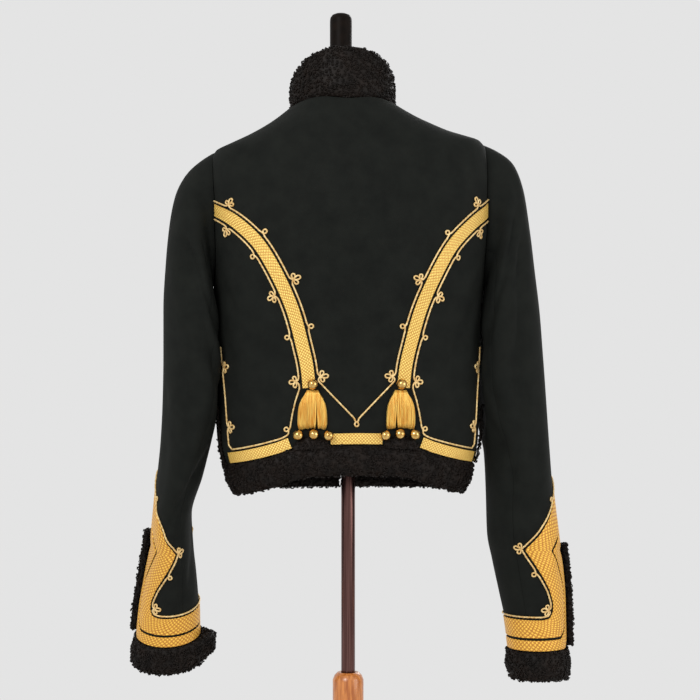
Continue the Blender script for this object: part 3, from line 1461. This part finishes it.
def cord_piece(name, centres, ways, finish, nodes=()):
    """Twisted cord through points on a surface, with the surface's outward directions."""
    along = unit(np.gradient(centres, axis=0))
    aside = unit(np.cross(ways, along))
    up = np.cross(along, aside)
    turn = np.linspace(0, 2 * math.pi, CORD_SIDES + 1)[None, :-1]
    phase = (distances(centres) / CORD_TWIST * 2 * math.pi / CORD_STRANDS)[:, None]
    radius = CORD_RADIUS * (1 + CORD_LOBE * np.cos(CORD_STRANDS * (turn - phase)))
    points = (centres[:, None] + up[:, None] * (radius * np.cos(turn))[..., None]
              + aside[:, None] * (radius * np.sin(turn))[..., None])
    count, sides = points.shape[:2]
    last = (count - 1) * sides
    faces = ring_faces(count, sides)
    faces += [tuple(range(sides)), tuple(reversed(range(last, last + sides)))]
    thing = link(name, outward(mesh_of(name, points.reshape(-1, 3), faces)))
    return finish_piece(thing, finish, "cord", *nodes)


def laid_cord(name, line, lay, side, finish, nodes=()):
    """Cord along a line of spots that are laid on a surface."""
    spots = softened(even_line(line, CORD_STEP), 2)
    centres, ways = lay(spots, side, CORD_LIFT + CORD_RADIUS)
    return cord_piece(name, centres, ways, finish, nodes)


def rail_line(edges, distance, stations):
    """Cord line beside the back lace, on the body's +X side, with its ornaments."""
    path = lace_path(edges)
    across = across_of(path)
    rail = path + across * distance
    first = int(np.argmax(outside_armhole(rail)))
    rail, across = rail[first:], across[first:] * math.copysign(1.0, distance)
    spots = [(at_height(rail, height), kind) for height, kind in stations]
    return with_ornaments(rail, across, spots)


def inner_cord(edges, finish):
    """Cord inside both back laces, joined by a V with an eye at the waist."""
    rail = rail_line(edges, CORD_FROM_LACE, INNER_STATIONS)
    rail = rail[:int(np.flatnonzero(rail[:, 2] > V_TOP_HEIGHT)[-1]) + 1]
    tip = body_points((np.array([math.pi / 2]), np.array([V_POINT_HEIGHT])))
    leg = even_line(np.concatenate((rail[-1:], tip)), LINE_STEP)
    leg = leg[np.linalg.norm(leg - tip, axis=1) > V_EYE_START]
    half = np.concatenate((rail, leg[1:]))
    other = half[::-1] * np.array((-1, 1, 1))
    flat = ORNAMENTS["eye"][1:-1]
    eye = tip + flat[:, :1] * np.array((-1, 0, 0)) + flat[:, 1:] * np.array((0, 0, -1))
    whole = np.concatenate((half, eye, other))
    laid_cord("cord_back_inner", whole, lay_on_body, 1, finish, ("cord_back_inner",))


def outer_cord(edges, side, word, finish):
    """Cord outside a back lace, on along the hem lace and up behind the side slit."""
    rail = rail_line(edges, -CORD_FROM_LACE, OUTER_STATIONS)
    tail = body_points(place_from_x(*np.array(OUTER_TAIL, float).T))
    start = float(place_from_x(*HEM_CORD_START)[0])
    corner = float(place_from_y(SIDE_SEAM_ROWS[0][0] + SLIT_CORD_BACK, FLANK_HEIGHT)[0])
    corner += SLIT_CORNER_ROOM
    hem = hem_line(start, corner, HEM_CORD_UP)
    heights = np.linspace(hem[-1, 2] + SLIT_CORD_BEND, SLIT_CORD_TOP, 60)
    order = np.argsort(SIDE_SEAM["height"])
    seam = smooth(SIDE_SEAM["height"][order], SIDE_SEAM["back"][order], heights)
    slit = body_points(place_from_y(seam + SLIT_CORD_BACK, heights))
    slit = even_line(slit, LINE_STEP)
    spots = [(at_height(slit, height), kind) for height, kind in SLIT_STATIONS]
    slit = with_ornaments(slit, -across_of(slit), spots)
    line = even_line(np.concatenate((rail[-2:], tail)), LINE_STEP)[2:]
    line = even_line(np.concatenate((line, hem)), LINE_STEP)
    eye = tail[at_height(tail, TAIL_EYE_HEIGHT)]
    eye_at = int(np.argmin(np.linalg.norm(line - eye, axis=1)))
    line = with_ornaments(line, -across_of(line), [(eye_at, "eye")])
    whole = np.concatenate((rail, line, slit))
    name = "cord_back_outer_" + word
    laid_cord(name, whole, lay_on_body, side, finish, (name,))


def cuff_cord(side, word, finish):
    """Cord just outside the upper cuff lace, with eyes and crow's feet."""
    edge = cuff_edges(CUFF_UPPER_ROWS, side)[:, :2]
    along = unit(np.gradient(edge, axis=0))
    out = np.stack((-along[:, 1], along[:, 0]), axis=1)
    line = softened(edge + out * CUFF_CORD_OUT, 6)
    spots = []
    for around, up, kind in CUFF_CORD_STATIONS:
        for way in (1, -1):
            far = np.linalg.norm(edge - np.array((way * around, up)), axis=1)
            spots.append((int(np.argmin(far)), kind))
    line = with_ornaments(line, out, spots)
    laid_cord("cuff_cord_" + word, line, lay_on_sleeve, side, finish)


# Tufts and buttons

TUFT_X = 56.0
TUFT_TOP = 1077.0
TUFT_TIP = 1030.0
TUFT_STRANDS = 32
TUFT_BREADTHS = TUFT_STRANDS - 0.4
TUFT_LAYERS = ((1.6, 0.0), (3.0, 0.33), (4.3, 0.67))
TUFT_SLIT = -0.3
# Share of the way down, half spread of the tuft, thickness of one strand
TUFT_ROWS = ((0.0, 6.6, 0.62), (0.12, 9.6, 0.72), (0.3, 14.6, 0.8), (0.55, 17.2, 0.8),
             (0.85, 17.8, 0.8), (1.0, 16.8, 0.66))
TUFT = columns(("down", "half_spread", "thickness"), TUFT_ROWS)
TUFT_SHARES = np.linspace(0, 1, 10)
TUFT_HALF = smooth(TUFT["down"], TUFT["half_spread"], TUFT_SHARES)
TUFT_THICK = smooth(TUFT["down"], TUFT["thickness"], TUFT_SHARES)
# Corners of a thread's three-sided section, across and outwards
THREAD_CORNERS = ((-0.87, -0.5), (0.87, -0.5), (0.0, 1.0))
# How far the threads part beside the slit, and how far from it that is felt, as shares of
# half the tuft's width
TUFT_PARTING = 0.11
TUFT_PARTING_REACH = 0.16
TUFT_BULGE = 1.6
TUFT_TIP_CURVE = 2.6
# Unevenness of the threads: across (as such a share), at their tips and off the cloth
UNEVEN_ACROSS = 0.012
UNEVEN_TIP = 1.2
UNEVEN_LIFT = 0.2
TUFT_SEED = 11
BUTTON_RADIUS = 6.7
BUTTON_SPOTS = ((56.0, 1085.0, 2.4), (54.5, 1021.0, 0.3), (73.5, 1020.0, 0.3),
                (36.0, 1019.5, 0.9))
FRONT_BUTTON_X = 12.0
FRONT_BUTTON_LIFT = 0.4
FRONT_BUTTON_HEIGHTS = (1375.0, 1290.0, 1205.0, 1120.0, 1035.0)


def body_spot(x, height, lift, front=False):
    """Point and outward direction over the body, behind or in front, on either side."""
    side = 1 if x >= 0 else -1
    angle, height = place_from_x(np.array([abs(x)]), np.array([height], float))
    spots, ways = both_to_side(*on_body((-angle if front else angle, height), side, lift), side)
    return spots[0], ways[0]


def tuft_thread(rng, across, lift, side):
    """Middle points of one thread of a tuft, and the body's outward directions there."""
    across += rng.uniform(-UNEVEN_ACROSS, UNEVEN_ACROSS)
    away = across - TUFT_SLIT
    parted = math.copysign(TUFT_PARTING * math.exp(-abs(away) / TUFT_PARTING_REACH), away)
    x = TUFT_X + (across + parted * TUFT_SHARES ** 3) * TUFT_HALF
    tip = TUFT_TIP - TUFT_TIP_CURVE * abs(across) + rng.uniform(-UNEVEN_TIP, UNEVEN_TIP)
    heights = TUFT_TOP + (tip - TUFT_TOP) * TUFT_SHARES
    bulge = lift + TUFT_BULGE * np.sin(math.pi * TUFT_SHARES)
    bulge += rng.uniform(-UNEVEN_LIFT, UNEVEN_LIFT)
    return on_body(place_from_x(x, heights), side, bulge)


def tuft(side, word, finish):
    """Flared tuft of gilt threads, in three layers, with a slit near its lower middle."""
    rng = np.random.default_rng(TUFT_SEED + side)
    points, faces = [], []
    for lift, shift in TUFT_LAYERS:
        for k in range(TUFT_STRANDS):
            across = 2 * (k + shift) / TUFT_BREADTHS - 1
            middles, ways = tuft_thread(rng, across, lift, side)
            first = len(points)
            for middle, way, size in zip(middles, ways, TUFT_THICK):
                for aside, out in THREAD_CORNERS:
                    points.append(middle + np.array((aside * size, 0, 0)) + way * out * size)
            last = len(points) - 3
            faces += ring_faces(len(middles), 3, first)
            faces += [(first, first + 1, first + 2), (last + 2, last + 1, last)]
    points = to_side(np.array(points), side)
    threads = link("tuft_" + word, outward(mesh_of("tuft_" + word, points, faces)))
    finish_piece(threads, finish, "gold_lace", "tuft_" + word)


def ball_mesh(name, middle, way, radii):
    """Rounded knob from level rings, its pole along one direction."""
    rings, around = 18, 32
    rise = np.linspace(0, math.pi, rings + 1)
    turn = np.linspace(0, 2 * math.pi, around + 1)[:-1]
    aside = unit(np.cross(way, np.array((0.0, 0.0, 1.0))))
    upward = np.cross(aside, way)
    points = [middle + way * radii[1]]
    for angle in rise[1:-1]:
        out = math.sin(angle)
        for t in turn:
            points.append(middle + way * (radii[1] * math.cos(angle))
                          + aside * (radii[0] * out * math.cos(t))
                          + upward * (radii[2] * out * math.sin(t)))
    points.append(middle - way * radii[1])
    faces = [(0, 1 + k, 1 + (k + 1) % around) for k in range(around)]
    faces += [(a, d, c, b) for a, b, c, d in ring_faces(rings - 1, around, 1)]
    low, end = 1 + (rings - 2) * around, len(points) - 1
    faces += [(low + k, end, low + (k + 1) % around) for k in range(around)]
    return outward(mesh_of(name, np.array(points), faces))


def buttons(finish):
    """Ball buttons at the tufts and hips, and down the front."""
    spots = []
    for side, word in SIDES:
        spots += [(f"button_hip_{word}_{number}", side * x, height, lift, False)
                  for number, (x, height, lift) in enumerate(BUTTON_SPOTS, start=1)]
    spots += [(f"button_front_{number}", FRONT_BUTTON_X, height, FRONT_BUTTON_LIFT, True)
              for number, height in enumerate(FRONT_BUTTON_HEIGHTS, start=1)]
    for name, x, height, lift, front in spots:
        middle, way = body_spot(x, height, BUTTON_RADIUS + lift, front)
        thing = link(name, ball_mesh(name, middle, way, (BUTTON_RADIUS,) * 3))
        finish_piece(thing, finish, "gilt_button", name)


# Stand

FORM_ROWS = (
    (1040, 164, 95, 101),
    (1120, 165, 98, 107),
    (1180, 167, 104, 112),
    (1240, 172, 110, 112),
    (1290, 176, 111, 103),
    (1335, 176, 105, 83),
    (1378, 174, 98, 62),
    (1395.4, 167, 93, 51),
    (1404.4, 151, 91, 48),
    (1418.4, 120, 87, 43),
    (1431, 91, 80, 40),
    (1441, 67, 67, 38),
    (1453, 52, 48, 37),
    (1503, 46, 43, 35),
)
FORM = columns(BODY_COLUMNS, FORM_ROWS)
# Rounded lower edge and neck of the form: heights, with how far in and what share of the size
FORM_EDGE_ROWS = ((1040.2, 26), (1040.0, 10), (1041.5, 4), (1045, 1.2))
FORM_TOP_ROWS = ((1503.2, 0.97), (1503.3, 0.9))
FORM_LEVELS = ((1040, 1378, 50), (1380, 1503, 60))
FORM_STEPS_ROUND = 96


def form_torso():
    """Smooth limbless torso, its lower edge and its neck rounded over."""
    turns = np.linspace(0, 2 * math.pi, FORM_STEPS_ROUND + 1)[:-1]
    heights = np.concatenate([np.linspace(*levels) for levels in FORM_LEVELS])
    rings = []
    for height, inset in FORM_EDGE_ROWS:
        ring = slice_points(FORM, turns, height) - slice_normals(FORM, turns, height) * inset
        ring[:, 2] = height
        rings.append(leaned(ring))
    rings += [leaned(slice_points(FORM, turns, height)) for height in heights[1:]]
    top = rings[-1]
    for height, share in FORM_TOP_ROWS:
        ring = top * np.array((share, share, 1.0))
        ring[:, 2] = height
        rings.append(ring)
    around = len(turns)
    last = (len(rings) - 1) * around
    faces = ring_faces(len(rings), around)
    faces += [tuple(reversed(range(around))), tuple(range(last, last + around))]
    return link("form_body", outward(mesh_of("form_body", np.concatenate(rings), faces,
                                             sharp=60)))


NECK_POST_ROWS = ((1575, 0), (1574.4, 6.5), (1572.5, 11.3), (1568.5, 14.1), (1564, 14.6),
                  (1518, 14.6), (1513, 17.5), (1508.5, 32), (1505.5, 39.5), (1503.6, 40),
                  (1503.6, 0))
POST_CENTRE = (10.0, 4.0)
COLUMN_ROWS = ((655, 0), (655, 9.6), (700, 9.6), (700, 14), (696, 18), (690, 20.5),
               (640, 20.5), (632, 17.6), (628, 17), (618, 21), (610, 21), (600, 16),
               (520, 19.8), (420, 23), (330, 22.5), (230, 19.6), (130, 17), (110, 22),
               (98, 22), (88, 19), (76, 20.4), (60, 24), (42, 38), (34.3, 44), (34.3, 0))
BASE_ROWS = ((34, 0), (34, 60), (31, 120), (24, 172), (18, 184), (10, 188), (0, 186), (0, 0))
POLE_RADIUS = 9.2
# Least angles, in degrees, of edges that are eased and that look sharp
EASED_ANGLE = 28
SHARP_ANGLE = 35
TURNED_WELD = 0.00001
POLE_HEIGHTS = (655.4, 1039.7)


def turned_piece(name, rows, centre=(0.0, 0.0), steps=64, width_mm=0.8):
    """Turned piece from heights and radii, with rounded edges."""
    mesh = bpy.data.meshes.new(name)
    points = [Vector((radius, 0, height)) * MM for height, radius in rows]
    mesh.from_pydata(points, [(i, i + 1) for i in range(len(points) - 1)], [])
    thing = link(name, mesh)
    screw = thing.modifiers.new("Turned", "SCREW")
    screw.steps = screw.render_steps = steps
    screw.use_merge_vertices = True
    screw.merge_threshold = TURNED_WELD
    made_real(thing)
    bm = bmesh.new()
    bm.from_mesh(thing.data)
    bmesh.ops.remove_doubles(bm, verts=bm.verts, dist=TURNED_WELD)
    bmesh.ops.recalc_face_normals(bm, faces=bm.faces)
    bmesh.ops.translate(bm, verts=bm.verts, vec=(centre[0] * MM, centre[1] * MM, 0))
    bm.to_mesh(thing.data)
    bm.free()
    edge = thing.modifiers.new("Eased edges", "BEVEL")
    edge.width = width_mm * MM
    edge.segments = 2
    edge.limit_method = "ANGLE"
    edge.angle_limit = math.radians(EASED_ANGLE)
    made_real(thing)
    thing.data.shade_smooth()
    thing.data.set_sharp_from_angle(angle=math.radians(SHARP_ANGLE))
    return thing


# Studio

CAMERA_DISTANCE = 2.4
CAMERA_HEIGHT = 1.128
CAMERA_TURN = 6.0
VIEW_WIDTH = 0.931
SENSOR = 36.0
CAMERA_SHIFT = 0.0025
FLOOR_RADIUS = 2.2
FLOOR_DROP = 0.0005
# Each lamp's name, place, size in metres and power in watts
LAMPS = (("Key", (1.5, 2.4, 2.6), 1.2, 45.0),
         ("Fill", (-2.2, 1.6, 1.5), 1.6, 16.0),
         ("Front", (-1.4, -2.4, 2.2), 1.5, 22.0))
LAMP_AIM_HEIGHT = 1.15


def studio_floor():
    """Plain pale floor."""
    bm = bmesh.new()
    bmesh.ops.create_circle(bm, cap_ends=True, segments=96, radius=FLOOR_RADIUS)
    mesh = bpy.data.meshes.new("floor")
    bm.to_mesh(mesh)
    bm.free()
    floor = link("floor", mesh)
    floor.location.z = -FLOOR_DROP
    paint, tree, shader, place = new_material("Pale studio floor", Roughness=0.8)
    scuff = noise(tree, (place, "Object"), 3.0, 5.0)
    ramp(tree, shader, scuff, (0.3, "DCDCDC"), (0.7, "E4E4E4"))
    floor.data.materials.append(paint)


def studio_light():
    """Soft light all round with three lamps."""
    world = bpy.data.worlds.new("Studio")
    world.use_nodes = True
    world.node_tree.nodes["Background"].inputs["Color"].default_value = linear("E4E4E4")
    world.node_tree.nodes["Background"].inputs["Strength"].default_value = 1.0
    bpy.context.scene.world = world
    bpy.context.scene.view_settings.view_transform = "Standard"
    for name, spot, size, watts in LAMPS:
        light = bpy.data.lights.new(name, "AREA")
        light.shape = "DISK"
        light.size = size
        light.energy = watts
        lamp = bpy.data.objects.new(name, light)
        bpy.context.scene.collection.objects.link(lamp)
        lamp.location = spot
        aim = Vector((0, 0, LAMP_AIM_HEIGHT)) - Vector(spot)
        lamp.rotation_euler = aim.to_track_quat("-Z", "Y").to_euler()


def studio_camera():
    """Camera behind the jacket at the chest's height, turned a little to one side."""
    lens = bpy.data.cameras.new("Camera")
    lens.sensor_width = SENSOR
    lens.lens = SENSOR * CAMERA_DISTANCE / VIEW_WIDTH
    camera = bpy.data.objects.new("Camera", lens)
    bpy.context.scene.collection.objects.link(camera)
    turn = math.radians(CAMERA_TURN)
    spot = Vector((math.sin(turn), math.cos(turn), 0)) * CAMERA_DISTANCE
    across = Vector((math.cos(turn), -math.sin(turn), 0))
    camera.location = spot - across * CAMERA_SHIFT + Vector((0, 0, CAMERA_HEIGHT))
    camera.rotation_euler = (-spot).to_track_quat("-Z", "Y").to_euler()
    bpy.context.scene.camera = camera


def body_and_sleeves(edges):
    """The nine pieces of black cloth."""
    wool = fulled_wool()
    finish_piece(back_cloth(edges), wool, "wool", "back_panel")
    for side, word in SIDES:
        finish_piece(side_back_cloth(edges, side, word), wool, "wool", "side_back_" + word)
        finish_piece(front_cloth(edges, side, word), wool, "wool", "front_" + word)
        top = sleeve_cloth(side, word, "top", FORE_SEAM_TURN - 360, HIND_SEAM_TURN,
                           TOP_SLEEVE_COUNT)
        under = sleeve_cloth(side, word, "under", HIND_SEAM_TURN, FORE_SEAM_TURN,
                             UNDER_SLEEVE_COUNT)
        finish_piece(top, wool, "wool", "top_sleeve_" + word)
        finish_piece(under, wool, "wool", "under_sleeve_" + word)


def furs():
    """All the pieces of curly fur."""
    curl = link("lamb_curl", curl_mesh())
    tree = curl_tree(lamb_curl())
    for seed, node in enumerate(FUR_NODES):
        fur_piece(node, tree, curl, seed)
    for seed, (side, word) in enumerate(SIDES, start=len(FUR_NODES)):
        fur_piece("hump_" + word, tree, curl, seed, fur_hump(side, word))
    bpy.data.objects.remove(curl)


def trims(edges):
    """Lace, cords, tufts and buttons."""
    lace = woven_gold("Woven gold lace", 3.0, "FFE27A", "B87626")
    cuff = woven_gold("Broad gold lace", 4.2, "FFCA50", "AA6218")
    cord = gilt_cord()
    thread = gilt_thread()
    brass = gilt_brass()
    hem_laces(edges, lace)
    inner_cord(edges, cord)
    for side, word in SIDES:
        back_lace(edges, side, word, lace)
        outer_cord(edges, side, word, cord)
        cuff_lace("upper", CUFF_UPPER_ROWS, side, word, cuff)
        cuff_lace("lower", CUFF_LOWER_ROWS, side, word, cuff)
        cuff_cord(side, word, cord)
        tuft(side, word, thread)
    buttons(brass)


def stand():
    """Form, neck post, pole, column and base."""
    finish_piece(form_torso(), cotton_jersey(), "form_cover", "form_torso")
    wood = turned_beech()
    post = turned_piece("neck_post", NECK_POST_ROWS, POST_CENTRE)
    finish_piece(post, black_enamel(), "lacquer", "neck_finial")
    finish_piece(turned_piece("column", COLUMN_ROWS), wood, "turned_wood", "stand_column")
    finish_piece(turned_piece("base", BASE_ROWS, steps=96), wood, "turned_wood", "stand_base")
    low, high = POLE_HEIGHTS
    rows = ((high, 0), (high, POLE_RADIUS), (low, POLE_RADIUS), (low, 0))
    finish_piece(turned_piece("pole", rows, width_mm=0.4), pole_chrome(), "pole_steel",
                 "stand_pole")


def main():
    """Dress the frame and set up the studio."""
    edges = seam_edges()
    body_and_sleeves(edges)
    furs()
    trims(edges)
    stand()
    studio_floor()
    studio_light()
    studio_camera()


main()
